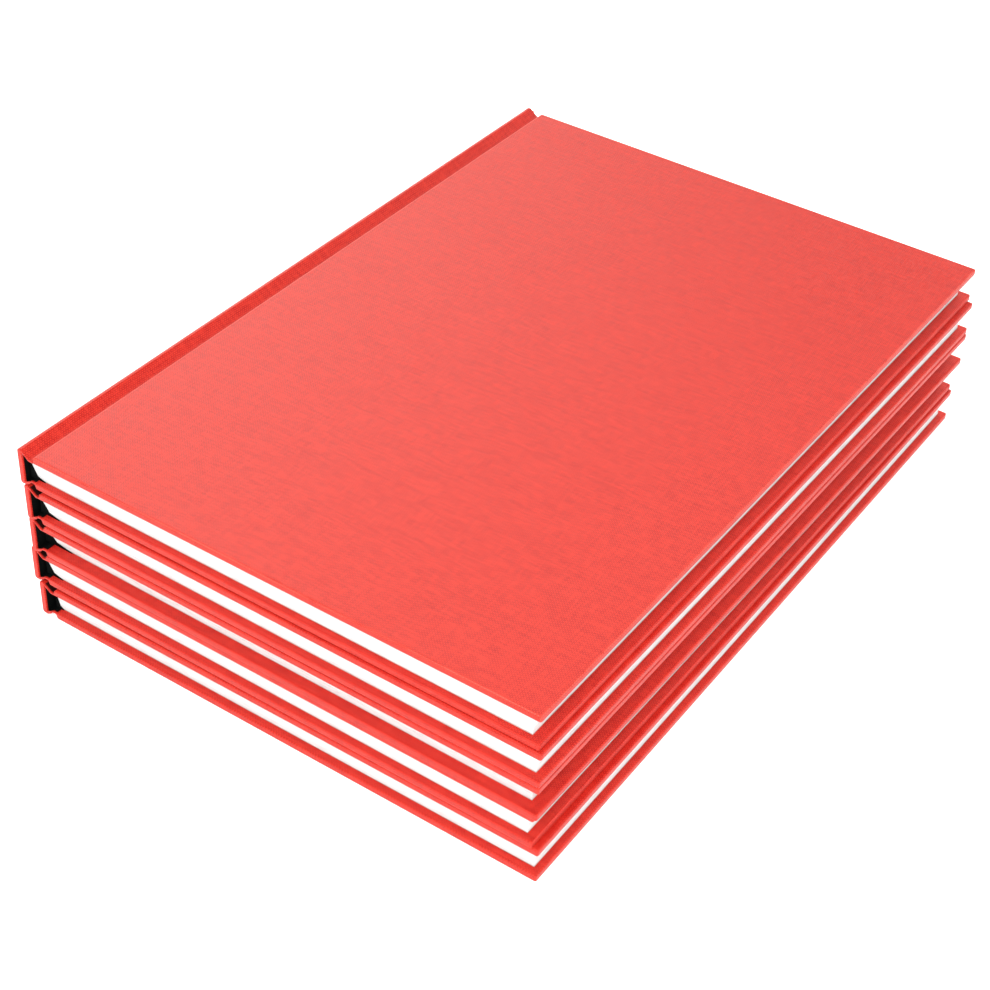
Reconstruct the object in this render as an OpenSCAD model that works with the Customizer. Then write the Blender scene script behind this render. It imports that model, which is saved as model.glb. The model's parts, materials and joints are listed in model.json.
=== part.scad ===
// Stack of five hardback notebooks in red book cloth, lying flat with their spines at -X.
// Each book is a cloth case over two boards and a spine strip, with a block of pages that
// hangs in it by its endpapers. The origin is the middle of the bottom book's underside,
// +Y runs along the spines from tail to head, and +Z is up.

/* [Cover] */
// Width of a closed book, from the spine's outer face to the covers' fore-edge
cover_w = 208; // [150:1:260]
// Height of a book along its spine
cover_h = 303; // [200:1:380]
// Thickness of the board inside a cover
board_t = 2; // [1.5:0.1:3]
// Thickness of the book cloth
cloth_t = 0.4; // [0.3:0.05:0.5]
// Width of cloth turned in over the inner face of a board
turn_in = 15; // [10:0.5:20]
// Outer radius of the cloth where it goes round a board's fore-edge
edge_r = 0.7; // [0.6:0.05:0.9]

/* [Spine and grooves] */
// Distance from the spine's outer face to the spine edge of the covers
board_x = 6.8; // [6:0.1:9]
// Thickness of the card strip inside the spine
strip_t = 1.2; // [0.8:0.1:1.6]
// Clearance between the card strip and the ridges' round inside
strip_gap = 0.1; // [0.1:0.05:0.4]
// Outer radius of the two ridges along the spine
ridge_r = 1; // [0.7:0.05:1.2]
// Width of the flat bottom of a groove, beside the cover
groove_flat = 1.2; // [0.6:0.1:1.6]
// Depth of the front cover below the ridge, at the groove
groove_drop = 0.8; // [0.3:0.1:1.5]
// Gap beside the groove that lets the top cover turn
joint_gap = 0.3; // [0.2:0.05:0.5]

/* [Pages] */
// Thickness of the page block at its fore-edge
page_t = 8; // [5:0.5:14]
// Thickness of an endpaper leaf
leaf_t = 0.15; // [0.1:0.01:0.2]
// Air between the two leaves of a closed endpaper
leaf_gap = 0.1; // [0.05:0.01:0.2]
// Thickness of the lining glued to the back of the pages
lining_t = 0.3; // [0.2:0.05:0.4]
// Overhang of the covers past centred pages, at head and tail
end_square = 3; // [2.5:0.1:5]
// Overhang of the covers past centred pages, at the fore-edge
fore_square = 3.5; // [2:0.1:5]
// Air between the spine and the lining of centred pages
hollow = 1.8; // [1.4:0.1:2.5]

/* [How the books lie] */
// Shift of the second to the fifth book across the spine
shift_x = [-1.5, 0.6, 0.5, -1.1]; // [-8:0.1:8]
// Shift of the second to the fifth book along the spine
shift_y = [-0.1, -1.2, -1.4, -1]; // [-8:0.1:8]
// Turn of the second to the fifth book, in degrees
turn = [-0.27, -0.37, -0.31, -0.19]; // [-2:0.01:2]
// Shift of the first to the fifth page block across its case
block_x = [0.8, 0.2, -1.2, 0.4, -0.5]; // [-1.2:0.1:1.2]
// Shift of the first to the fifth page block along its case
block_y = [0, -0.2, 1.5, 0, -0.5]; // [-2:0.1:2]

/* [Hidden] */
CLOTH = "#e8402f";
BOARD = "#a39787";
CARD = "#b9ad9a";
PAPER = "#fbfbf8";
LINING = "#2a2728";

arc_steps = 4;
book_count = len(shift_x) + 1;
top_book = book_count - 1;

cover_t = board_t + 2 * cloth_t;
leaf_pair = 2 * leaf_t + leaf_gap;
book_t = page_t + 2 * cover_t + 2 * leaf_pair;
strip_x = cloth_t + strip_t;
board_inner_x = board_x + cloth_t;
page_x = strip_x + cloth_t + hollow + lining_t;
page_w = cover_w - fore_square - page_x;
page_h = cover_h - 2 * end_square;

PIECES = [
    "case_cloth", "front_board", "back_board", "spine_strip",
    "front_endpaper", "back_endpaper", "page_block", "spine_lining"
];
COVER_NODES = ["cover_cloth", "cover_board", "cover_pastedown"];

// Direction and left-hand normal of a straight stretch
function direction(a, b) = (b - a) / norm(b - a);
function left_of(v) = [-v[1], v[0]];

// Normal at point i of an open line, lengthened so that both neighbours shift by one
function mitre(line, i) =
    let (last = len(line) - 1)
    let (before = left_of(direction(line[max(i - 1, 0)], line[max(i, 1)])))
    let (after = left_of(direction(line[min(i, last - 1)], line[min(i + 1, last)])))
    (before + after) / (1 + before * after);

// The line shifted to its left by a distance, and a line read backwards
function shifted(line, distance) =
    [for (i = [0 : len(line) - 1]) line[i] + distance * mitre(line, i)];
function reversed(line) = [for (i = [len(line) - 1 : -1 : 0]) line[i]];

function arc(centre, radius, from, to) = [
    for (i = [0 : arc_steps])
        let (angle = from + (to - from) * i / arc_steps)
        centre + radius * [cos(angle), sin(angle)]
];

// A cover's section turned upside down for the back of the book
function underside(line) = [for (point = reversed(line)) [point[0], book_t - point[1]]];

// Height of a cover's outer and inner face, where drop is its depth at the groove
function outer_z(x, drop) = book_t - drop * (cover_w - x) / (cover_w - board_x);
function inner_z(x, drop) = outer_z(x, drop) - cover_t;

// Finished side of the cloth round a board, from the turned-in edge to the groove
function panel_line(drop) = concat(
    [[cover_w - turn_in, inner_z(cover_w - turn_in, drop)]],
    arc([cover_w - edge_r, inner_z(cover_w - edge_r, drop) + edge_r], edge_r, -90, 0),
    arc([cover_w - edge_r, outer_z(cover_w - edge_r, drop) - edge_r], edge_r, 0, 90),
    [[board_x, outer_z(board_x, drop)]]
);

// Finished side of the cloth from a groove's bottom to the ridge and round it
function groove_line(start_x, drop) =
    let (bottom_z = inner_z(board_inner_x, drop) + 2 * cloth_t)
    concat(
        [[start_x, bottom_z], [board_x - groove_flat, bottom_z], [strip_x, book_t]],
        arc([ridge_r, book_t - ridge_r], ridge_r, 90, 180)
    );

// The same stretch of the turned-in layer at head and tail, which folds down
// over the strip once it has met it
function fold_line(start_x, drop) =
    let (line = shifted(groove_line(start_x, drop), cloth_t))
    let (slope = (line[2][1] - line[1][1]) / (line[2][0] - line[1][0]))
    [line[0], line[1], [strip_x, line[1][1] + slope * (strip_x - line[1][0])]];

// Outline of a board, inside its cloth
function board_outline(drop) =
    let (inside = shifted(concat(panel_line(drop), [[board_x, inner_z(board_x, drop)]]), cloth_t))
    let (corner = [board_inner_x, inner_z(board_inner_x, drop) + cloth_t])
    concat([for (i = [0 : len(inside) - 2]) inside[i]], [corner]);

// A band between two heights that follow a cover's inner face
function inner_band(from, to, low, high, drop) = [
    [from, inner_z(from, drop) + low], [to, inner_z(to, drop) + low],
    [to, inner_z(to, drop) + high], [from, inner_z(from, drop) + high]
];

// Cloth turned in over a board at head and tail, up to the layer's own edge
function fold_band(drop) =
    let (start = [board_inner_x, inner_z(board_inner_x, drop)])
    let (line = panel_line(drop))
    [start, line[0], shifted(line, cloth_t)[0], start + [0, cloth_t]];

module strip_section() {
    low_z = ridge_r + strip_gap;
    translate([cloth_t, low_z]) square([strip_t, book_t - 2 * low_z]);
}

// A layer of one thickness to the left of a line
module layer(line, thickness) {
    polygon(concat(line, reversed(shifted(line, thickness))));
}

// Stands a section up along the spine, from one height of the book to another
module along_spine(from, to) {
    translate([0, to, 0]) rotate([90, 0, 0]) linear_extrude(to - from) children();
}

// The same section at the tail and at the head
module at_both_ends(from, to) {
    along_spine(from, to) children();
    along_spine(cover_h - to, cover_h - from) children();
}

// Cloth folded in over a board at head and tail; at the fore-edge it is part of the layer
module front_folds() {
    at_both_ends(0, cloth_t) polygon(board_outline(groove_drop));
    at_both_ends(0, turn_in) polygon(fold_band(groove_drop));
}

module back_folds() {
    at_both_ends(0, cloth_t) polygon(underside(board_outline(0)));
    at_both_ends(0, turn_in) polygon(underside(fold_band(0)));
}

// Cloth turned in over the ends of the spine, doubled in the grooves
module spine_folds(start_x) {
    fold = concat(fold_line(start_x, groove_drop), underside(fold_line(board_inner_x, 0)));
    at_both_ends(0, turn_in) layer(fold, cloth_t);
    at_both_ends(0, cloth_t) strip_section();
}

// The whole cloth of a book, in one piece
module case_cloth() {
    front = concat(panel_line(groove_drop), groove_line(board_x, groove_drop));
    back = underside(concat(panel_line(0), groove_line(board_x, 0)));
    color(CLOTH) union() {
        along_spine(0, cover_h) layer(concat(front, back), cloth_t);
        front_folds();
        back_folds();
        spine_folds(board_inner_x);
    }
}

// The cloth of the top book without its front cover, up to the groove
module top_case_cloth() {
    edge = board_x - joint_gap;
    back = underside(concat(panel_line(0), groove_line(board_x, 0)));
    color(CLOTH) union() {
        along_spine(0, cover_h) layer(concat(groove_line(edge, groove_drop), back), cloth_t);
        back_folds();
        spine_folds(edge);
    }
}

// The cloth of the top book's front cover
module cover_cloth() {
    edge = [board_x, inner_z(board_x, groove_drop)];
    color(CLOTH) union() {
        along_spine(0, cover_h) layer(concat(panel_line(groove_drop), [edge]), cloth_t);
        front_folds();
    }
}

module front_board() {
    color(BOARD) along_spine(cloth_t, cover_h - cloth_t) polygon(board_outline(groove_drop));
}

module back_board() {
    color(BOARD) along_spine(cloth_t, cover_h - cloth_t) polygon(underside(board_outline(0)));
}

module spine_strip() {
    color(CARD) along_spine(cloth_t, cover_h - cloth_t) strip_section();
}

// Leaf glued to a cover: it lies on the turned-in cloth and steps down to the bare board
module pastedown(start_x, book, drop) {
    low_y = end_square + block_y[book];
    end_x = page_x + page_w + block_x[book];
    step_x = cover_w - turn_in;
    on_cloth = inner_band(start_x, step_x, -leaf_t, 0, drop);
    along_spine(low_y, low_y + page_h) polygon(inner_band(step_x, end_x, -leaf_t, 0, drop));
    along_spine(low_y, turn_in) polygon(on_cloth);
    along_spine(cover_h - turn_in, low_y + page_h) polygon(on_cloth);
    along_spine(turn_in, cover_h - turn_in) {
        polygon(inner_band(start_x, step_x, cloth_t - leaf_t, cloth_t, drop));
        polygon(inner_band(step_x - leaf_t, step_x, -leaf_t, cloth_t, drop));
    }
    at_both_ends(turn_in, turn_in + leaf_t)
        polygon(inner_band(start_x, step_x, -leaf_t, cloth_t, drop));
}

// Loose leaf, on the page block
module flyleaf(book, drop) {
    low_y = end_square + block_y[book];
    low_x = page_x + block_x[book];
    along_spine(low_y, low_y + page_h)
        polygon(inner_band(low_x, low_x + page_w, -leaf_pair, leaf_t - leaf_pair, drop));
}

// Both leaves in one folded sheet, with the fold over the back of the pages
module endpaper(book, drop) {
    low_y = end_square + block_y[book];
    low_x = page_x + block_x[book];
    color(PAPER) union() {
        pastedown(low_x, book, drop);
        flyleaf(book, drop);
        along_spine(low_y, low_y + page_h)
            polygon(inner_band(low_x, low_x + leaf_t, -leaf_pair, 0, drop));
        along_spine(turn_in, cover_h - turn_in)
            polygon(inner_band(low_x, low_x + leaf_t, -leaf_pair, cloth_t, drop));
    }
}

module back_endpaper(book) {
    translate([0, 0, book_t]) mirror([0, 0, 1]) endpaper(book, 0);
}

module front_flyleaf(book) {
    color(PAPER) flyleaf(book, groove_drop);
}

module cover_pastedown(book) {
    color(PAPER) union() pastedown(board_inner_x, book, groove_drop);
}

// Section of the pages, or of a layer at their back, which thins towards the spine
module page_section(from, to) {
    low_z = cover_t + leaf_pair;
    polygon([
        [from, low_z], [to, low_z],
        [to, inner_z(to, groove_drop) - leaf_pair], [from, inner_z(from, groove_drop) - leaf_pair]
    ]);
}

module page_block(book) {
    low_y = end_square + block_y[book];
    low_x = page_x + block_x[book];
    color(PAPER) along_spine(low_y, low_y + page_h) page_section(low_x, low_x + page_w);
}

module spine_lining(book) {
    low_y = end_square + block_y[book];
    low_x = page_x + block_x[book];
    color(LINING) along_spine(low_y, low_y + page_h) page_section(low_x - lining_t, low_x);
}

// Puts a book where it lies: the bottom one is centred, the others are shifted and turned
module in_stack(book) {
    move_x = book == 0 ? 0 : shift_x[book - 1];
    move_y = book == 0 ? 0 : shift_y[book - 1];
    angle = book == 0 ? 0 : turn[book - 1];
    translate([move_x, move_y, book * book_t])
        rotate([0, 0, angle])
            translate([-cover_w / 2, -cover_h / 2, 0])
                children();
}

for (book = [0 : top_book - 1]) in_stack(book) {
    case_cloth();
    front_board();
    back_board();
    spine_strip();
    endpaper(book, groove_drop);
    back_endpaper(book);
    page_block(book);
    spine_lining(book);
}

in_stack(top_book) {
    top_case_cloth();  // case_cloth_5
    back_board();  // back_board_5
    spine_strip();  // spine_strip_5
    front_flyleaf(top_book);  // front_flyleaf_5
    back_endpaper(top_book);  // back_endpaper_5
    page_block(top_book);  // page_block_5
    spine_lining(top_book);  // spine_lining_5
    cover_cloth();
    front_board();  // cover_board
    cover_pastedown(top_book);
}
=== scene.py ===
# %% [markdown]
# # A stack of hardback notebooks
#
# Five cloth-bound notebooks lie on each other with their spines on the left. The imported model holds
# every piece at its real size. This script gives them their looks: woven book cloth that is really
# folded round the boards, trimmed pages, soft light and a camera at the photograph's angle.
# Each step says what the piece is on a real book, and why it is made the way it is.

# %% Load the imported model
import json
import math
import bpy
import bmesh
from mathutils import Matrix, Vector


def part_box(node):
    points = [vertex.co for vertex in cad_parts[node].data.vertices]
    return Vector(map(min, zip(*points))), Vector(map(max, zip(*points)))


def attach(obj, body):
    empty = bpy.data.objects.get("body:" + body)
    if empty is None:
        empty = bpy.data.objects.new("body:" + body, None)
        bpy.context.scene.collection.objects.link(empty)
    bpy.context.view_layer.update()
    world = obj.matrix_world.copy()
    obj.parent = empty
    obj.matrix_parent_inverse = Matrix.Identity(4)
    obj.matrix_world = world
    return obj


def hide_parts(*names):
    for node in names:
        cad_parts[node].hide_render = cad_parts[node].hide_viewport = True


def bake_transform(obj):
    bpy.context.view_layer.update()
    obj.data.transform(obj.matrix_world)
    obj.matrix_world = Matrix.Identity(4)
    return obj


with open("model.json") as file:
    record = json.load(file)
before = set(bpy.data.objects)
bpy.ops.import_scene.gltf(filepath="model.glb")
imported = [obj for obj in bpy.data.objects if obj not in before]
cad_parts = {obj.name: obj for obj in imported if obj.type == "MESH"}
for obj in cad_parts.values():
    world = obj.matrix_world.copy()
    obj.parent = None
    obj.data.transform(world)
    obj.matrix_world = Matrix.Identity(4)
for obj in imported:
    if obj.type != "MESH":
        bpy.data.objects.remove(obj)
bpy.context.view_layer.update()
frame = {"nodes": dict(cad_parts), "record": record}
scene = bpy.context.scene
nodes = frame["nodes"]
MM = 0.001
BOOKS = 5
print("pieces in the frame:", len(nodes))

# %% [markdown]
# ## Measure the books
#
# A piece that is measured from the frame can't drift away from it. The bottom book lies square to
# the axes, so its boxes give the sizes that all five books share. The other books are turned by a
# fraction of a degree, and the card strip in each spine, a plain bar, shows how far.

# %% Sizes that the books share
case_low, case_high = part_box("case_cloth_1")
strip_low, strip_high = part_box("spine_strip_1")
board_low, board_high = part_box("back_board_1")
lid_low, lid_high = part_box("front_board_1")
COVER_W = case_high.x - case_low.x
COVER_H = case_high.y - case_low.y
BOOK_T = case_high.z - case_low.z
CLOTH_T = strip_low.x - case_low.x
STRIP_X = strip_high.x - case_low.x
COVER_T = board_high.z + CLOTH_T
BOARD_X = board_low.x - CLOTH_T - case_low.x
GROOVE_DROP = BOOK_T - COVER_T + CLOTH_T - lid_low.z
TURN_IN = 15 * MM
print("book", [round(size / MM, 1) for size in (COVER_W, COVER_H, BOOK_T)], "mm")
print("covered board", round(COVER_T / MM, 2), "mm, groove", round(GROOVE_DROP / MM, 2), "mm low")


# %% Where each book lies
def place_of(book):
    """The matrix that takes a book's own corner at the spine, tail and underside to its place."""
    points = [v.co for v in nodes[f"spine_strip_{book}"].data.vertices]
    tail_y = min(p.y for p in points)
    head_y = max(p.y for p in points)
    middle_y = (tail_y + head_y) / 2
    tail = min((p for p in points if p.y < middle_y), key=lambda p: p.x)
    head = min((p for p in points if p.y > middle_y), key=lambda p: p.x)
    angle = math.atan2(tail.x - head.x, head.y - tail.y)
    turn = Matrix.Rotation(angle, 4, "Z")
    corner = Vector((tail.x, tail.y, (book - 1) * BOOK_T))
    return Matrix.Translation(corner) @ turn @ Matrix.Translation((-CLOTH_T, -CLOTH_T, 0))


PLACES = {book: place_of(book) for book in range(1, BOOKS + 1)}
for book, place in PLACES.items():
    print("book", book, "turned", round(math.degrees(place.to_euler().z), 2), "degrees")

# %% [markdown]
# ## Camera
#
# The view is from above the books' front corner. The camera's place,
# its angles and its lens were worked out from the straight edges of the covers, so the render's
# outline falls on the photograph's.

# %% Camera at the photograph's angle
CAMERA_PLACE = Vector((310.4, -509.7, 482.7)) * MM
CAMERA_AZIMUTH = math.radians(32.54)
CAMERA_ELEVATION = math.radians(38.66)
CAMERA_ROLL = math.radians(2.95)
CAMERA_LENS = 73.55

camera_data = bpy.data.cameras.new("camera")
camera_data.lens = CAMERA_LENS
camera_data.sensor_width = 36
camera = bpy.data.objects.new("camera", camera_data)
scene.collection.objects.link(camera)
camera.matrix_world = (
    Matrix.Translation(CAMERA_PLACE)
    @ Matrix.Rotation(CAMERA_AZIMUTH, 4, "Z")
    @ Matrix.Rotation(math.pi / 2 - CAMERA_ELEVATION, 4, "X")
    @ Matrix.Rotation(CAMERA_ROLL, 4, "Z")
)
scene.camera = camera
print("lens", CAMERA_LENS, "mm")

# %% [markdown]
# ## Light
#
# The photograph is a bright studio shot: the floor and the pages are almost burnt out, and the
# covers shine palest towards the spine. A pale world fills every shadow, and a large soft panel
# behind the spines makes that shine. A second panel, in front, keeps the near sides bright, a third
# lights the fore-edges and a fourth keeps the far end from going dark.

# %% World, floor and soft panels
scene.view_settings.view_transform = "Standard"
WORLD_STRENGTH = 0.5
BACKDROP_STRENGTH = 1.0
WARM_WHITE = (1.0, 0.97, 0.92)
FLOOR_SIZE = 6.0

world = bpy.data.worlds.new("studio")
world.use_nodes = True
world.node_tree.nodes["Background"].inputs["Color"].default_value = (1, 1, 1, 1)
sky = world.node_tree.nodes["Background"]
rays = world.node_tree.nodes.new("ShaderNodeLightPath")
seen = world.node_tree.nodes.new("ShaderNodeMapRange")
seen.inputs["To Min"].default_value = WORLD_STRENGTH
seen.inputs["To Max"].default_value = BACKDROP_STRENGTH
world.node_tree.links.new(rays.outputs["Is Camera Ray"], seen.inputs["Value"])
world.node_tree.links.new(seen.outputs["Result"], sky.inputs["Strength"])
scene.world = world


def soft_panel(name, place, target, size, watts):
    """A square area light that looks at a point."""
    data = bpy.data.lights.new(name, "AREA")
    data.shape = "SQUARE"
    data.size = size
    data.energy = watts
    data.color = WARM_WHITE
    panel = bpy.data.objects.new(name, data)
    scene.collection.objects.link(panel)
    panel.location = place
    panel.rotation_euler = (Vector(target) - Vector(place)).to_track_quat("-Z", "Y").to_euler()
    return panel


soft_panel("panel_back", (-1.3, 0.9, 1.05), (0, 0, 0.07), 1.3, 29)
soft_panel("panel_front", (0.5, -1.15, 1.15), (0, 0, 0.03), 0.9, 29)
soft_panel("panel_right", (1.6, -0.5, 0.7), (0, 0, 0.03), 1.0, 9)
soft_panel("panel_far", (0.1, 1.8, 1.1), (0, 0.1, 0.05), 1.2, 8)


def deselect_all():
    """Clears the selection, because an operator acts on all that is selected."""
    for thing in bpy.context.selected_objects:
        thing.select_set(False)


deselect_all()
bpy.ops.mesh.primitive_plane_add(size=FLOOR_SIZE, location=(0, 0, 0))
floor = bpy.context.active_object
floor.name = "floor"
bpy.ops.object.transform_apply(location=True, rotation=True, scale=True)

# %% [markdown]
# ## Finishes
#
# Book cloth is a plain weave with a matt starch finish. Its threads are about half a millimetre
# apart, and no two are equally thick, which gives the fine streaks of a linen look. The weave is
# a node group, so the cloth of every book can use it with its own offset. It reads the UV map,
# which is laid on the cloth in metres before it is turned into place, so the threads follow the
# cloth round each edge and stay put when the cover opens.


# %% Node helpers
def node(tree, kind, **settings):
    """Adds a node and sets its properties."""
    made = tree.nodes.new(kind)
    for name, value in settings.items():
        setattr(made, name, value)
    return made


def maths(tree, operation, first, second=None):
    """A Math node whose inputs are sockets or numbers."""
    made = node(tree, "ShaderNodeMath", operation=operation)
    for socket, value in zip(made.inputs, (first, second)):
        if value is None:
            continue
        if isinstance(value, (int, float)):
            socket.default_value = value
        else:
            tree.links.new(value, socket)
    return made.outputs[0]


def mixed(tree, share, colour, other):
    """A colour socket, mixed with a constant colour by a share between 0 and 1."""
    mix = node(tree, "ShaderNodeMix", data_type="RGBA")
    inputs = {socket.identifier: socket for socket in mix.inputs}
    inputs["B_Color"].default_value = other
    tree.links.new(share, inputs["Factor_Float"])
    tree.links.new(colour, inputs["A_Color"])
    return next(socket for socket in mix.outputs if socket.identifier == "Result_Color")


def new_group(name, inputs, outputs):
    """An empty node group with named sockets: (name, kind, default)."""
    group = bpy.data.node_groups.new(name, "ShaderNodeTree")
    for title, kind, default in inputs:
        socket = group.interface.new_socket(title, in_out="INPUT", socket_type=kind)
        if default is not None:
            socket.default_value = default
    for title, kind in outputs:
        group.interface.new_socket(title, in_out="OUTPUT", socket_type=kind)
    return group, group.nodes.new("NodeGroupInput"), group.nodes.new("NodeGroupOutput")


# %% The weave
def make_weave():
    """Plain weave: the threads' height, and how light or dark each thread is."""
    group, given, put = new_group(
        "plain_weave",
        [
            ("Place", "NodeSocketVector", None),
            ("Thread pitch", "NodeSocketFloat", 0.00055),
            ("Slub", "NodeSocketFloat", 0.5),
            ("Middle", "NodeSocketFloat", 0.5),
        ],
        [("Height", "NodeSocketFloat"), ("Tone", "NodeSocketFloat")],
    )
    split = node(group, "ShaderNodeSeparateXYZ")
    group.links.new(given.outputs["Place"], split.inputs[0])
    along = [maths(group, "DIVIDE", split.outputs[i], given.outputs["Thread pitch"]) for i in (0, 1)]
    # A thin noise stretched along each set of threads makes them swell and wander
    streaks = []
    for i, stretch in enumerate(((1, 0.13), (0.13, 1))):
        scaled = node(group, "ShaderNodeCombineXYZ")
        group.links.new(maths(group, "MULTIPLY", along[0], stretch[0]), scaled.inputs[0])
        group.links.new(maths(group, "MULTIPLY", along[1], stretch[1]), scaled.inputs[1])
        scaled.inputs[2].default_value = 7.3 * i
        noise = node(group, "ShaderNodeTexNoise")
        noise.inputs["Scale"].default_value = 0.75
        noise.inputs["Detail"].default_value = 1.0
        group.links.new(scaled.outputs[0], noise.inputs["Vector"])
        streaks.append(noise.outputs["Fac"])
    # Height of one thread over another: a hump across and a longer hump along
    waves = [maths(group, "SINE", maths(group, "MULTIPLY", a, math.pi)) for a in along]
    humps = [maths(group, "ABSOLUTE", wave) for wave in waves]
    cell = [maths(group, "FLOOR", a) for a in along]
    parity = maths(group, "MODULO", maths(group, "ADD", cell[0], cell[1]), 2.0)
    parity = maths(group, "ABSOLUTE", parity)
    warp = maths(group, "MULTIPLY", maths(group, "POWER", humps[0], 0.6), humps[1])
    weft = maths(group, "MULTIPLY", maths(group, "POWER", humps[1], 0.6), humps[0])
    over = node(group, "ShaderNodeMix", data_type="FLOAT")
    group.links.new(parity, over.inputs["Factor"])
    group.links.new(warp, over.inputs["A"])
    group.links.new(weft, over.inputs["B"])
    streak = node(group, "ShaderNodeMix", data_type="FLOAT")
    group.links.new(parity, streak.inputs["Factor"])
    group.links.new(streaks[0], streak.inputs["A"])
    group.links.new(streaks[1], streak.inputs["B"])
    swell = maths(group, "MULTIPLY", streak.outputs["Result"], given.outputs["Slub"])
    height = maths(group, "ADD", over.outputs["Result"], swell)
    group.links.new(height, put.inputs["Height"])
    tone = given.outputs["Middle"]
    # Each part of the tone: its socket, its average and its share
    parts = [(over.outputs["Result"], 0.35, 0.6), (parity, 0.5, 0.4)]
    parts += [(one, 0.5, 0.75) for one in streaks]
    for part, average, share in parts:
        swing = maths(group, "MULTIPLY", maths(group, "SUBTRACT", part, average), share)
        tone = maths(group, "ADD", tone, swing)
    group.links.new(tone, put.inputs["Tone"])
    return group


WEAVE = make_weave()


# %% Red book cloth
THREAD_DARK = (0.35, 0.0, 0.0, 1)
THREAD_LIGHT = (0.62, 0.028, 0.016, 1)
# The paler red is partly wear and partly a painted highlight on the folds, strongest on the top
# cover.
WORN_AND_HIGHLIT_RED = (0.74, 0.10, 0.075, 1)
# The near-black red is painted shade in the shut grooves between books.
PAINTED_SHADE_RED = (0.012, 0.0, 0.0, 1)
WEAVE_DEPTH = 0.00012
CLOUDS_PER_METRE = 260.0


def red_cloth(name, offset):
    """Woven red cloth. The offset keeps two books from showing the same threads."""
    material = bpy.data.materials.new(name)
    material.use_nodes = True
    tree = material.node_tree
    shader = tree.nodes["Principled BSDF"]
    place = node(tree, "ShaderNodeUVMap", uv_map="threads")
    shift = node(tree, "ShaderNodeMapping")
    shift.inputs["Location"].default_value = offset
    tree.links.new(place.outputs[0], shift.inputs["Vector"])
    weave = node(tree, "ShaderNodeGroup", node_tree=WEAVE)
    tree.links.new(shift.outputs[0], weave.inputs["Place"])
    cloud = node(tree, "ShaderNodeTexNoise")
    cloud.inputs["Scale"].default_value = CLOUDS_PER_METRE
    cloud.inputs["Detail"].default_value = 6.0
    cloud.inputs["Roughness"].default_value = 0.7
    tree.links.new(shift.outputs[0], cloud.inputs["Vector"])
    mottle = maths(tree, "MULTIPLY", maths(tree, "SUBTRACT", cloud.outputs["Fac"], 0.5), 0.25)
    tone = maths(tree, "ADD", weave.outputs["Tone"], mottle)
    ramp = node(tree, "ShaderNodeValToRGB")
    ramp.color_ramp.elements[0].position = 0.15
    ramp.color_ramp.elements[0].color = THREAD_DARK
    ramp.color_ramp.elements[1].position = 0.85
    ramp.color_ramp.elements[1].color = THREAD_LIGHT
    tree.links.new(tone, ramp.inputs[0])
    # The folds are paler, most on the raised threads: partly wear, partly a painted highlight.
    # The shut grooves between books are painted shade, nearly black
    rubbed_and_highlit = node(tree, "ShaderNodeAttribute", attribute_name="rubbed_and_highlit")
    raised = maths(tree, "MULTIPLY", tone, 1.1)
    wear_and_highlight = maths(tree, "MULTIPLY", rubbed_and_highlit.outputs["Fac"], raised)
    worn_and_highlit = mixed(tree, wear_and_highlight, ramp.outputs[0], WORN_AND_HIGHLIT_RED)
    groove_shade = node(tree, "ShaderNodeAttribute", attribute_name="groove_shade")
    shown = mixed(tree, groove_shade.outputs["Fac"], worn_and_highlit, PAINTED_SHADE_RED)
    tree.links.new(shown, shader.inputs["Base Color"])
    bump = node(tree, "ShaderNodeBump")
    bump.inputs["Strength"].default_value = 0.5
    bump.inputs["Distance"].default_value = WEAVE_DEPTH
    tree.links.new(weave.outputs["Height"], bump.inputs["Height"])
    tree.links.new(bump.outputs[0], shader.inputs["Normal"])
    rough = maths(tree, "ADD", maths(tree, "MULTIPLY", weave.outputs["Tone"], 0.15), 0.33)
    tree.links.new(rough, shader.inputs["Roughness"])
    shader.inputs["Specular IOR Level"].default_value = 0.28
    shader.inputs["Specular Tint"].default_value = (1.0, 0.92, 0.8, 1)
    shader.inputs["Sheen Weight"].default_value = 0.05
    shader.inputs["Sheen Roughness"].default_value = 0.5
    shader.inputs["Sheen Tint"].default_value = (1.0, 0.75, 0.7, 1)
    return material


CLOTHS = {
    book: red_cloth(f"red_cloth_{book}", (0.031 * book, 0.017 * book, 0))
    for book in range(1, BOOKS + 1)
}


# %% [markdown]
# Paper, grey board and spine card are all pressed fibres, so one function makes them: a fine noise
# shades the colour and lifts the surface. Stretched flat in the plane of the leaves, the same
# noise gives the edges of the pages their fine lines. The lining is nearly black and not glossy;
# its black is painted shade, and the same finish makes the painted-shade sheet in the hollow and
# the wedges under the pages.

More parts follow.
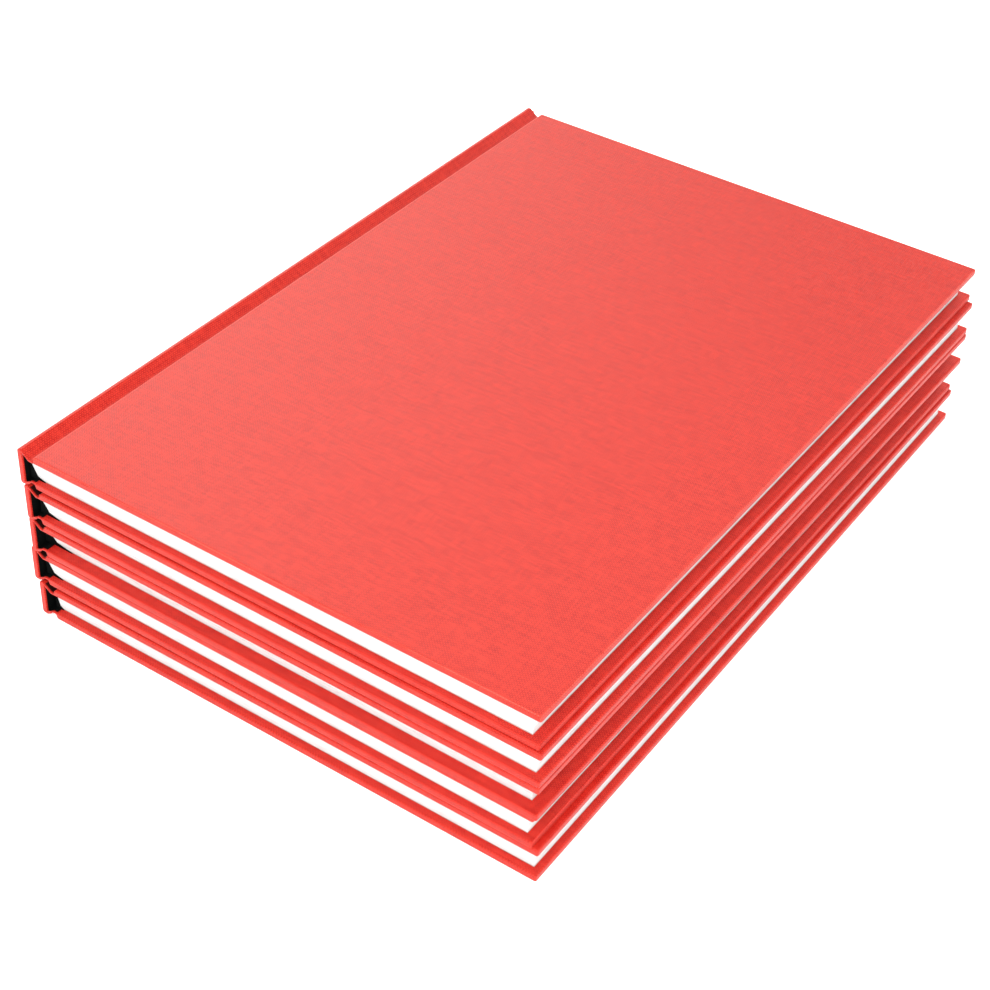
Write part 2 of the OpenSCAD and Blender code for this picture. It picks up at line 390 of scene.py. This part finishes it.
# %% Paper, board and lining
def paper(name, colour, stretch, scale, depth, gloss=0.3, shade=0.08):
    """Paper whose fibres or leaves are a noise stretched by the Mapping node."""
    material = bpy.data.materials.new(name)
    material.use_nodes = True
    tree = material.node_tree
    shader = tree.nodes["Principled BSDF"]
    place = node(tree, "ShaderNodeTexCoord")
    shape = node(tree, "ShaderNodeMapping")
    shape.inputs["Scale"].default_value = stretch
    tree.links.new(place.outputs["Object"], shape.inputs["Vector"])
    noise = node(tree, "ShaderNodeTexNoise")
    noise.inputs["Scale"].default_value = scale
    noise.inputs["Detail"].default_value = 5.0
    tree.links.new(shape.outputs[0], noise.inputs["Vector"])
    ramp = node(tree, "ShaderNodeValToRGB")
    ramp.color_ramp.elements[0].position = 0.3
    ramp.color_ramp.elements[0].color = (*[c * (1 - shade) for c in colour], 1)
    ramp.color_ramp.elements[1].position = 0.62
    ramp.color_ramp.elements[1].color = (*colour, 1)
    tree.links.new(noise.outputs["Fac"], ramp.inputs[0])
    tree.links.new(ramp.outputs[0], shader.inputs["Base Color"])
    bump = node(tree, "ShaderNodeBump")
    bump.inputs["Strength"].default_value = 0.3
    bump.inputs["Distance"].default_value = depth
    tree.links.new(noise.outputs["Fac"], bump.inputs["Height"])
    tree.links.new(bump.outputs[0], shader.inputs["Normal"])
    shader.inputs["Roughness"].default_value = 0.85
    shader.inputs["Specular IOR Level"].default_value = gloss
    return material


FINISHES = {
    "pages": paper(
        "trimmed_pages", (0.80, 0.83, 0.85), (0.02, 0.02, 1), 9000, 0.00004, shade=0.35
    ),
    "endpaper": paper("endpaper", (0.47, 0.465, 0.44), (1, 1, 1), 900, 0.00001),
    "grey_board": paper("grey_board", (0.40, 0.36, 0.30), (1, 1, 0.3), 700, 0.00005),
    "spine_card": paper("spine_card", (0.52, 0.47, 0.38), (1, 0.3, 1), 700, 0.00005),
    # The lining's near-black is painted shade, used also for the sheet in the hollow and the wedges
    # under the pages.
    "lining": paper(
        "spine_lining", (0.003, 0.004, 0.004), (1, 1, 1), 2500, 0.00008, gloss=0.03
    ),
}
SLOTS = {entry["node"]: entry["material_slot"] for entry in frame["record"]["subparts"]}
for name, piece in nodes.items():
    if SLOTS[name] in FINISHES:
        piece.data.materials.clear()
        piece.data.materials.append(FINISHES[SLOTS[name]])
print("finishes:", len(FINISHES) + len(CLOTHS))

# %% [markdown]
# A studio's paper sweep is a plain matt white. It glows a little here, so that the shadows on it
# burn out as they do in the photograph.

# %% Floor finish
FLOOR_WHITE = (0.9, 0.9, 0.9, 1)
FLOOR_GLOW = 0.45
floor_finish = bpy.data.materials.new("pale_floor")
floor_finish.use_nodes = True
floor_shader = floor_finish.node_tree.nodes["Principled BSDF"].inputs
floor_shader["Base Color"].default_value = FLOOR_WHITE
floor_shader["Roughness"].default_value = 0.9
floor_shader["Emission Color"].default_value = (1, 1, 1, 1)
floor_shader["Emission Strength"].default_value = FLOOR_GLOW
floor.data.materials.append(floor_finish)
print("floor:", FLOOR_SIZE, "m wide")

# %% [markdown]
# ## The case: one sheet folded round two boards
#
# A case maker glues the cloth to both boards and the spine strip, folds its margins over the
# boards' edges and presses a groove beside each board. Seen from the end, the finished case is a
# square C whose arms are the covers. That section could be drawn as a curve, but then its ends
# would stay open. Here one edge of a plane is extruded from station to station along the C, each
# station being a point on the outside and one on the inside, and the ladder is then pulled out
# along the spine. The inner faces past the folded margins are taken away, so that a sheet is
# left, and Solidify gives it the thickness of cloth.


# %% Stations on a cover
def outer_z(x, drop):
    """Height of a cover's outer face, which lies lower beside the groove."""
    return BOOK_T - drop * (COVER_W - x) / (COVER_W - BOARD_X)


def cover_stations(drop):
    """From the fore-edge to the spine edge of the front cover: (outside, inside)."""
    places = [COVER_W, COVER_W - TURN_IN, BOARD_X + TURN_IN, BOARD_X]
    return [((x, outer_z(x, drop)), (x, outer_z(x, drop) - COVER_T)) for x in places]


# %% [markdown]
# The groove is pressed with a warm brass strip, so the cloth dips beside the board in a soft
# curve and climbs to the ridge over the spine strip. The curve is given as steps from the
# groove's lowest line, in millimetres, and a second curve gives the folded-in ply below it.

# %% Stations in the groove and over the spine
GROOVE_OUT = [
    (6.78, 0.75), (6.66, 0.32), (6.36, 0.07), (5.9, 0.0), (5.55, 0.02), (5.25, 0.09), (4.9, 0.24),
    (4.55, 0.46), (4.15, 0.75), (3.75, 1.06), (3.35, 1.38), (2.95, 1.69), (2.55, 2.01), (2.2, 2.29),
    (1.9, 2.53), (1.6, 2.8),
]
GROOVE_IN = [
    (6.7, -0.8), (6.5, -0.8), (6.2, -0.8), (5.8, -0.8), (5.45, -0.8), (5.1, -0.75), (4.75, -0.58),
    (4.4, -0.32), (4.0, 0.0), (3.65, 0.3), (3.35, 0.57), (3.05, 0.83), (2.75, 1.08), (2.5, 1.28),
    (2.3, 1.43), (2.1, 1.55),
]
RIDGE_R = 1.0 * MM
RIDGE_STEPS = 4
SPINE_INNER_X = STRIP_X + CLOTH_T


def groove_stations(drop):
    """From the foot of the board's edge to the top of the ridge."""
    low_z = outer_z(BOARD_X + CLOTH_T, drop) - COVER_T + 2 * CLOTH_T
    rise = (BOOK_T - low_z) / (2.8 * MM)
    stations = []
    for (out_x, out_up), (in_x, in_up) in zip(GROOVE_OUT, GROOVE_IN):
        outside = (out_x * MM, low_z + out_up * rise * MM)
        inside = (in_x * MM, low_z + (in_up * rise if in_up > 0 else in_up) * MM)
        stations.append((outside, inside))
    return stations


def ridge_stations():
    """Round the ridge, from its top to the spine's outer face."""
    stations = []
    for step in range(RIDGE_STEPS + 1):
        angle = math.pi / 2 * (1 + step / RIDGE_STEPS)
        outside = (RIDGE_R * (1 + math.cos(angle)), BOOK_T - RIDGE_R * (1 - math.sin(angle)))
        inside = (SPINE_INNER_X, BOOK_T - (1.4 + 0.2 * step) * MM)
        stations.append((outside, inside))
    return stations


def turned_over(stations):
    """The same stations upside down, in the other order, for the back of the book."""
    return [tuple((x, BOOK_T - z) for x, z in station) for station in reversed(stations)]


PANEL = cover_stations(GROOVE_DROP)
GROOVE = groove_stations(GROOVE_DROP)
FLAT_ARM = cover_stations(0) + groove_stations(0) + ridge_stations()
SPINE_AND_BACK = ridge_stations() + turned_over(FLAT_ARM)
WHOLE_CASE = PANEL + GROOVE + SPINE_AND_BACK
print("stations round the case:", len(WHOLE_CASE))


# %% [markdown]
# The helpers below do what a hand does in edit mode: enter it with nothing selected, pick parts by
# where they are, and pull one edge on to the next station.

# %% Edit-mode helpers
def edit(piece):
    """Goes into edit mode on one piece and gives its mesh, with nothing selected."""
    deselect_all()
    piece.select_set(True)
    bpy.context.view_layer.objects.active = piece
    bpy.ops.object.mode_set(mode="EDIT")
    bpy.ops.mesh.select_all(action="DESELECT")
    return bmesh.from_edit_mesh(piece.data)


def select(mesh, kind, chosen):
    """Selects only the vertices, edges or faces that a test picks."""
    bpy.ops.mesh.select_all(action="DESELECT")
    bpy.ops.mesh.select_mode(type=kind)
    items = {"VERT": mesh.verts, "EDGE": mesh.edges, "FACE": mesh.faces}[kind]
    for item in items:
        if chosen(item):
            item.select_set(True)
    mesh.select_flush_mode()


def near(a, b, slack=0.01 * MM):
    """True for two lengths that are the same but for rounding."""
    return abs(a - b) < slack


def ladder(name, stations):
    """A strip of faces across a section, pulled from station to station."""
    deselect_all()
    bpy.ops.mesh.primitive_plane_add(size=1, calc_uvs=False)
    piece = bpy.context.active_object
    piece.name = name
    mesh = edit(piece)
    mesh.faces.ensure_lookup_table()
    corners = list(mesh.faces[0].verts)
    for vert, (x, z) in zip(corners, [*stations[0], *reversed(stations[1])]):
        vert.co = (x, 0, z)
    last = (corners[3], corners[2])
    for outside, inside in stations[2:]:
        select(mesh, "EDGE", lambda edge: set(edge.verts) == set(last))
        bpy.ops.mesh.extrude_edges_move()
        new = [vert for vert in mesh.verts if vert.select]
        new.sort(key=lambda vert: (vert.co - last[0].co).length)
        new[0].co = (outside[0], 0, outside[1])
        new[1].co = (inside[0], 0, inside[1])
        last = (new[0], new[1])
    bmesh.update_edit_mesh(piece.data)
    return piece, mesh


# %% [markdown]
# A real margin is folded over at the head, the tail and the fore-edge, never at the spine. So
# what goes is every inner face between the head and tail margins, as far as the fore-edge margin,
# and the cut ends of a section that isn't a whole case.


# %% Fold the cloth round a section
END_RING = 0.9 * MM


def folded_cloth(name, stations, open_ends=()):
    """Cloth folded round a section, in the book's own corner frame."""
    piece, mesh = ladder(name, stations)
    bpy.ops.mesh.select_all(action="SELECT")
    margin = [END_RING, TURN_IN - END_RING]
    for length in [*margin, COVER_H - 2 * TURN_IN, *reversed(margin)]:
        bpy.ops.mesh.extrude_region_move(TRANSFORM_OT_translate={"value": (0, length, 0)})
    bpy.ops.mesh.select_all(action="SELECT")
    bpy.ops.mesh.normals_make_consistent(inside=False)
    inside = {(round(x / MM, 2), round(z / MM, 2)) for _, (x, z) in stations}
    ends = [{(round(x / MM, 2), round(z / MM, 2)) for x, z in stations[end]} for end in open_ends]

    def cut_away(face):
        middle = face.calc_center_median()
        if not face.calc_area() or abs(face.normal.y) > 0.9:
            return False
        rim = {(round(v.co.x / MM, 2), round(v.co.z / MM, 2)) for v in face.verts}
        if any(rim == end for end in ends):
            return True
        in_margin = not TURN_IN < middle.y < COVER_H - TURN_IN or middle.x > COVER_W - TURN_IN
        return rim <= inside and not in_margin

    select(mesh, "FACE", cut_away)
    print(name, "faces cut away:", sum(face.select for face in mesh.faces))
    bpy.ops.mesh.delete(type="FACE")
    bpy.ops.object.mode_set(mode="OBJECT")
    return piece


# %% [markdown]
# Cloth never folds to a sharp edge. The bevel's radius is a weight on each sharp edge: soft beside
# the groove, smaller on the boards and least where the cloth is doubled over itself. Its width
# isn't clamped, because one tiny face in the groove would then make every fold sharp. The faces
# that it makes are marked, so that the material can paint the folds paler: partly wear where
# hands have rubbed the cloth, partly a painted highlight, strongest on the top cover.

# %% Round the folds and give the cloth its thickness
SHOULDER_R = 1.2 * MM
EDGE_R = 0.7 * MM
THIN_EDGE_R = 0.34 * MM
SHARP = math.radians(45)
# How much paler the folds are painted: partly wear, partly a painted highlight, far stronger on the
# top cover.
FOLD_WEAR_AND_HIGHLIGHT = 0.12
TOP_WEAR_AND_HIGHLIGHT = 0.9


def round_folds(piece, wear_and_highlight):
    """Rounds the folds: softly beside the groove, less on the boards, least on doubled cloth."""
    # The second material only marks the faces that the bevel makes, which are painted paler for wear
    # and a painted highlight
    piece.data.materials.append(CLOTHS[1])
    piece.data.materials.append(CLOTHS[2])
    mesh = edit(piece)
    weights = mesh.edges.layers.float.new("bevel_weight_edge")
    for edge in mesh.edges:
        if len(edge.link_faces) != 2 or edge.calc_face_angle(0) < SHARP:
            continue
        ends = [vert.co for vert in edge.verts]
        beside_groove = all(near(end.x, BOARD_X) for end in ends) and near(ends[0].z, ends[1].z)
        outside = abs(ends[0].z - BOOK_T / 2) > BOOK_T / 2 - COVER_T / 2
        radius = EDGE_R if all(end.x > BOARD_X - 0.001 * MM for end in ends) else THIN_EDGE_R
        if beside_groove and outside:
            radius = SHOULDER_R
        edge[weights] = radius / SHOULDER_R
    bpy.ops.object.mode_set(mode="OBJECT")
    bevel = piece.modifiers.new("rounded folds", "BEVEL")
    bevel.limit_method = "WEIGHT"
    bevel.width = SHOULDER_R
    bevel.segments = 3
    bevel.use_clamp_overlap = False
    bevel.material = 1
    bpy.ops.object.modifier_apply(modifier=bevel.name)
    mark_paler_folds(piece, wear_and_highlight)


def mark_paler_folds(piece, wear_and_highlight):
    """An attribute that is highest along the middle of each fold: partly wear, partly a painted
    highlight.
    """
    flat = {i for face in piece.data.polygons if face.material_index == 0 for i in face.vertices}
    rubbed_and_highlit = piece.data.attributes.new("rubbed_and_highlit", "FLOAT", "POINT")
    for i, value in enumerate(rubbed_and_highlit.data):
        value.value = 0.0 if i in flat else wear_and_highlight
    for face in piece.data.polygons:
        face.material_index = 0


def thicken(piece, thickness):
    """Solidify inwards, so the outside stays where it is."""
    wall = piece.modifiers.new("thickness", "SOLIDIFY")
    wall.thickness = thickness
    wall.offset = -1
    bpy.ops.object.modifier_apply(modifier=wall.name)


def lay_threads(piece):
    """A UV map in metres, from the side that each face looks to."""
    piece.data.uv_layers.new(name="threads")
    piece.data.uv_layers["threads"].active = True
    edit(piece)
    bpy.ops.mesh.select_all(action="SELECT")
    bpy.ops.uv.cube_project(cube_size=1.0, correct_aspect=False)
    bpy.ops.object.mode_set(mode="OBJECT")
    bpy.ops.object.shade_smooth_by_angle(angle=math.radians(40))
    even = piece.modifiers.new("flat faces stay flat", "WEIGHTED_NORMAL")
    even.keep_sharp = True
    bpy.ops.object.modifier_apply(modifier=even.name)


def in_place(piece, book):
    """Moves a finished piece from the book's corner frame to that book's place."""
    piece.data.transform(PLACES[book])
    piece.data.update()


# Bounds of the painted shade in the shut grooves between books.
DEEP_FROM_X = 2.3 * MM
DEEP_TO_X = BOARD_X - 0.1 * MM
DEEP_FROM_MIDDLE = 3.6 * MM
DEEP_FROM_END = 0.9 * END_RING


def mark_groove_shade(piece, below=BOOK_T):
    """An attribute that is 1 where a groove lies between two books: painted shade where little light
    gets in.
    """
    groove_shade = piece.data.attributes.new("groove_shade", "FLOAT", "POINT")
    for vert, value in zip(piece.data.vertices, groove_shade.data):
        x, y, z = vert.co
        in_groove = DEEP_FROM_X < x < DEEP_TO_X and abs(z - BOOK_T / 2) > DEEP_FROM_MIDDLE
        value.value = float(in_groove and DEEP_FROM_END < min(y, COVER_H - y) and z < below)


def make_cloth(name, stations, open_ends=(), wear_and_highlight=FOLD_WEAR_AND_HIGHLIGHT):
    """One piece of the case, with rounded folds, thickness and threads."""
    piece = folded_cloth(name, stations, open_ends)
    round_folds(piece, wear_and_highlight)
    thicken(piece, CLOTH_T * 0.98)
    lay_threads(piece)
    return piece


def copy_of(piece, name):
    """A copy with a mesh of its own."""
    twin = piece.copy()
    twin.data = piece.data.copy()
    twin.name = name
    scene.collection.objects.link(twin)
    return twin


def dress(piece, book):
    """Gives a piece of cloth its book's place and material."""
    in_place(piece, book)
    piece.data.materials.clear()
    piece.data.materials.append(CLOTHS[book])


# %% [markdown]
# Four of the books are closed for good, and their cases are alike. One is modelled in its own
# corner frame and copied, and each copy is then taken to its book's place.

# %% Four closed books
pattern = make_cloth("folded_case_1", WHOLE_CASE)
mark_groove_shade(pattern)
cases = {1: pattern}
for book in range(2, BOOKS):
    cases[book] = copy_of(pattern, f"folded_case_{book}")
for book, piece in cases.items():
    dress(piece, book)
    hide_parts(f"case_cloth_{book}")
    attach(piece, "stack")
print("one case:", len(pattern.data.polygons), "faces")

# %% [markdown]
# ## The top book opens
#
# Its front cover turns about a line under the ridge. The cloth over the board goes with the cover,
# the cloth over the spine stays with the stack, and the cloth in the groove is made as a piece of
# its own. So the top case is made in three pieces from the same stations, which meet at the foot
# of the board's edge and on the ridge.

# %% Top book: cover, spine and back, and the groove between them
top_cover = make_cloth("top_cover_cloth", PANEL, wear_and_highlight=TOP_WEAR_AND_HIGHLIGHT)
dress(top_cover, 5)
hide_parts("cover_cloth")
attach(top_cover, "front_cover")

top_spine = make_cloth("top_spine_and_back_cloth", SPINE_AND_BACK, open_ends=(0,))
# The top book's back groove lies on the book below, so it gets the painted shade too.
mark_groove_shade(top_spine, below=BOOK_T / 2)
dress(top_spine, 5)
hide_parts("case_cloth_5")
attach(top_spine, "stack")

top_groove = make_cloth("top_groove_cloth", GROOVE + ridge_stations()[:1], open_ends=(0, -1))
dress(top_groove, 5)
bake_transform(top_groove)

# %% [markdown]
# ## What shows at the ends of the spine
#
# Behind the spine is a hollow, and its ends lie in deep shadow; a thin wedge of shadow also shows
# below the pages beside it. Both are painted shade: a nearly black sheet lines the hollow's walls
# and a black wedge stands against the foot of the pages. Both are extruded from the line that they
# follow, then thickened.


# %% Painted shade: a black sheet inside the hollow
def sheet_along(name, line, from_y, to_y, thickness):
    """A sheet that follows a line across the book and runs along the spine."""
    deselect_all()
    bpy.ops.mesh.primitive_plane_add(size=1, calc_uvs=False)
    piece = bpy.context.active_object
    piece.name = name
    mesh = edit(piece)
    mesh.faces.ensure_lookup_table()
    corners = list(mesh.faces[0].verts)
    spots = [(line[0], from_y), (line[0], to_y), (line[1], to_y), (line[1], from_y)]
    for vert, ((x, z), y) in zip(corners, spots):
        vert.co = (x, y, z)
    last = (corners[3], corners[2])
    for x, z in line[2:]:
        select(mesh, "EDGE", lambda edge: set(edge.verts) == set(last))
        bpy.ops.mesh.extrude_edges_move()
        new = sorted((vert for vert in mesh.verts if vert.select), key=lambda vert: vert.co.y)
        new[0].co = (x, from_y, z)
        new[1].co = (x, to_y, z)
        last = (new[0], new[1])
    bmesh.update_edit_mesh(piece.data)
    bpy.ops.object.mode_set(mode="OBJECT")
    wall = piece.modifiers.new("thickness", "SOLIDIFY")
    wall.thickness = thickness
    wall.offset = 0
    bpy.ops.object.modifier_apply(modifier=wall.name)
    edit(piece)
    bpy.ops.mesh.select_all(action="SELECT")
    bpy.ops.mesh.normals_make_consistent(inside=False)
    bpy.ops.object.mode_set(mode="OBJECT")
    bpy.ops.object.shade_smooth_by_angle(angle=math.radians(40))
    return piece


# Thickness, gap and end margin of the painted-shade sheet in the hollow.
SHADE_SHEET_T = 0.12 * MM
SHADE_SHEET_GAP = 0.2 * MM
SHADE_SHEET_END = 0.7 * MM


def pushed_in(stations, amount):
    """The inside line of a section, moved towards the hollow by a small amount."""
    middle = Vector((12 * MM, BOOK_T / 2))
    points = []
    for _, (x, z) in stations:
        towards = (middle - Vector((x, z))).normalized()
        points.append((x + towards.x * amount, z + towards.y * amount))
    return points


def finish_with(piece, book, slot):
    """Gives a piece its book's place and the finish of a slot."""
    in_place(piece, book)
    piece.data.materials.clear()
    piece.data.materials.append(FINISHES[slot])


def shade_sheet_along(name, walls):
    """A nearly black sheet of painted shade just inside a run of stations, a little short of the ends
    of the spine.
    """
    return sheet_along(name, pushed_in(walls, SHADE_SHEET_GAP), SHADE_SHEET_END, COVER_H - SHADE_SHEET_END, SHADE_SHEET_T)


shade_sheets = {1: shade_sheet_along("hollow_shade_sheet_1", GROOVE + SPINE_AND_BACK[:-4])}
for book in range(2, BOOKS):
    shade_sheets[book] = copy_of(shade_sheets[1], f"hollow_shade_sheet_{book}")
shade_sheets[5] = shade_sheet_along("hollow_shade_sheet_5", SPINE_AND_BACK[:-4])
for book, shade_sheet in shade_sheets.items():
    finish_with(shade_sheet, book, "lining")
    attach(shade_sheet, "stack")
print("liners:", len(shade_sheets))

# %% Painted shade: a black wedge at the foot of the pages
SHADE_WEDGE_REACH = {1: 3 * MM, 2: 7 * MM, 3: 12 * MM, 4: 8 * MM, 5: 6 * MM}
SHADE_WEDGE_T = 0.4 * MM
SHADE_WEDGE_GAP = 0.05 * MM
SHADE_WEDGE_BACK = 0.2 * MM
SHADE_WEDGE_FOOT = 1.1 * MM
SHADE_WEDGE_TOP = 6 * MM


def shade_wedge(book, end):
    """A black wedge of painted shade against the pages, at the tail or the head of the spine."""
    pages = [PLACES[book].inverted() @ v.co for v in nodes[f"page_block_{book}"].data.vertices]
    page_x = min(p.x for p in pages)
    reach = SHADE_WEDGE_REACH[book]
    floor_z = COVER_T + 0.02 * MM
    if end == "tail":
        wedge_y = min(p.y for p in pages) - SHADE_WEDGE_T - SHADE_WEDGE_GAP
    else:
        wedge_y = max(p.y for p in pages) + SHADE_WEDGE_GAP
    deselect_all()
    bpy.ops.mesh.primitive_plane_add(size=1, calc_uvs=False)
    wedge = bpy.context.active_object
    wedge.name = f"shade_wedge_{end}_{book}"
    mesh = edit(wedge)
    mesh.faces.ensure_lookup_table()
    spots = [
        (page_x - SHADE_WEDGE_BACK, floor_z), (page_x + reach, floor_z),
        (page_x + 0.4 * reach, floor_z + SHADE_WEDGE_FOOT), (page_x - SHADE_WEDGE_BACK, floor_z + SHADE_WEDGE_TOP),
    ]
    for vert, (x, z) in zip(mesh.faces[0].verts, spots):
        vert.co = (x, wedge_y, z)
    bpy.ops.mesh.select_all(action="SELECT")
    bpy.ops.mesh.extrude_region_move(TRANSFORM_OT_translate={"value": (0, SHADE_WEDGE_T, 0)})
    bpy.ops.mesh.select_all(action="SELECT")
    bpy.ops.mesh.normals_make_consistent(inside=False)
    bpy.ops.object.mode_set(mode="OBJECT")
    finish_with(wedge, book, "lining")
    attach(wedge, "stack")


for book in range(1, BOOKS + 1):
    for end in ("tail", "head"):
        shade_wedge(book, end)
print("gauze hinges:", 2 * BOOKS)

# %% [markdown]
# ## Pages
#
# The pages are sewn in gatherings, folded sheets laid in one another, and trimmed together at the
# head, tail and fore-edge. A cut block is almost flat, but each gathering sits a hair differently
# and a fine line shows between two. So the block is extruded upwards, gathering by gathering, with
# a small step in before each. No two blocks wander alike, so each book's is pulled up on its own.

# %% Pages in gatherings
GATHERINGS = 7
STEP_IN = 0.07 * MM
WANDER = (0.0, 0.05, 0.02, 0.06, 0.01, 0.045, 0.025)


def block_of(book):
    """Corners of a book's page block, measured in the book's own corner frame."""
    points = [PLACES[book].inverted() @ v.co for v in nodes[f"page_block_{book}"].data.vertices]
    low = Vector([min(p[i] for p in points) for i in range(3)])
    high = Vector([max(p[i] for p in points) for i in range(3)])
    spine_top = max(p.z for p in points if near(p.x, low.x, 0.05 * MM))
    fore_top = max(p.z for p in points if near(p.x, high.x, 0.05 * MM))
    return low, high, spine_top, fore_top


def page_block(book):
    """A trimmed block, each gathering a little in or out of line."""
    low, high, spine_top, fore_top = block_of(book)
    deselect_all()
    bpy.ops.mesh.primitive_plane_add(size=1, calc_uvs=False)
    piece = bpy.context.active_object
    piece.name = f"pages_{book}"
    mesh = edit(piece)

    def put_top(share, inset):
        """Sets the selected top face to a share of the height, pulled in on every side."""
        for vert in [v for v in mesh.verts if v.select]:
            at_fore = vert.co.x > 0.5 * (low.x + high.x) if share else vert.co.x > 0
            at_head = vert.co.y > 0.5 * (low.y + high.y) if share else vert.co.y > 0
            top = fore_top if at_fore else spine_top
            vert.co.x = high.x - inset if at_fore else low.x + inset
            vert.co.y = high.y - inset if at_head else low.y + inset
            vert.co.z = low.z + share * (top - low.z)

    bpy.ops.mesh.select_all(action="SELECT")
    put_top(0, WANDER[0] * MM)
    for gathering in range(GATHERINGS):
        inset = WANDER[(gathering + book) % len(WANDER)] * MM
        steps = [(0.03, inset), (0.93, inset), (1.0, inset + STEP_IN)]
        for part, edge_in in steps:
            bpy.ops.mesh.extrude_region_move()
            put_top((gathering + part) / GATHERINGS, edge_in)
    bpy.ops.mesh.select_all(action="SELECT")
    bpy.ops.mesh.normals_make_consistent(inside=False)
    bpy.ops.object.mode_set(mode="OBJECT")
    finish_with(piece, book, "pages")
    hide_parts(f"page_block_{book}")
    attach(piece, "stack")
    return piece


for book in range(1, BOOKS + 1):
    piece = page_block(book)
print("pages:", len(piece.data.polygons), "faces a block")

# %% [markdown]
# ## The endpaper's fold under the opening cover
#
# One leaf of the endpaper is glued to the cover and the other lies on the pages. Between them the
# sheet runs through the hinge, and this piece is that run.

# %% Endpaper hinge of the top book
TUCK = 1.5 * MM
TUCK_DOWN = 0.04 * MM
LEAF_T = 0.07 * MM
HINGE_STEPS = 12
leaf = [PLACES[5].inverted() @ v.co for v in nodes["front_flyleaf_5"].data.vertices]
glued = [PLACES[5].inverted() @ v.co for v in nodes["cover_pastedown"].data.vertices]
leaf_x = min(p.x for p in leaf)
glued_x = min(p.x for p in glued)
leaf_z = max(p.z for p in leaf if near(p.x, leaf_x))
glued_z = min(p.z for p in glued if near(p.x, glued_x))
tail_y, head_y = min(p.y for p in leaf), max(p.y for p in leaf)
shares = [i / HINGE_STEPS for i in range(HINGE_STEPS + 1)]
line = [(leaf_x + (glued_x - leaf_x) * i, leaf_z + (glued_z - leaf_z) * i) for i in shares]
line.append((glued_x + TUCK, glued_z - TUCK_DOWN))
fold = sheet_along("endpaper_hinge", line, tail_y, head_y, LEAF_T)
finish_with(fold, 5, "endpaper")
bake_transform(fold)
print("endpaper hinge", round((glued_x - leaf_x) / MM, 1), "mm wide")
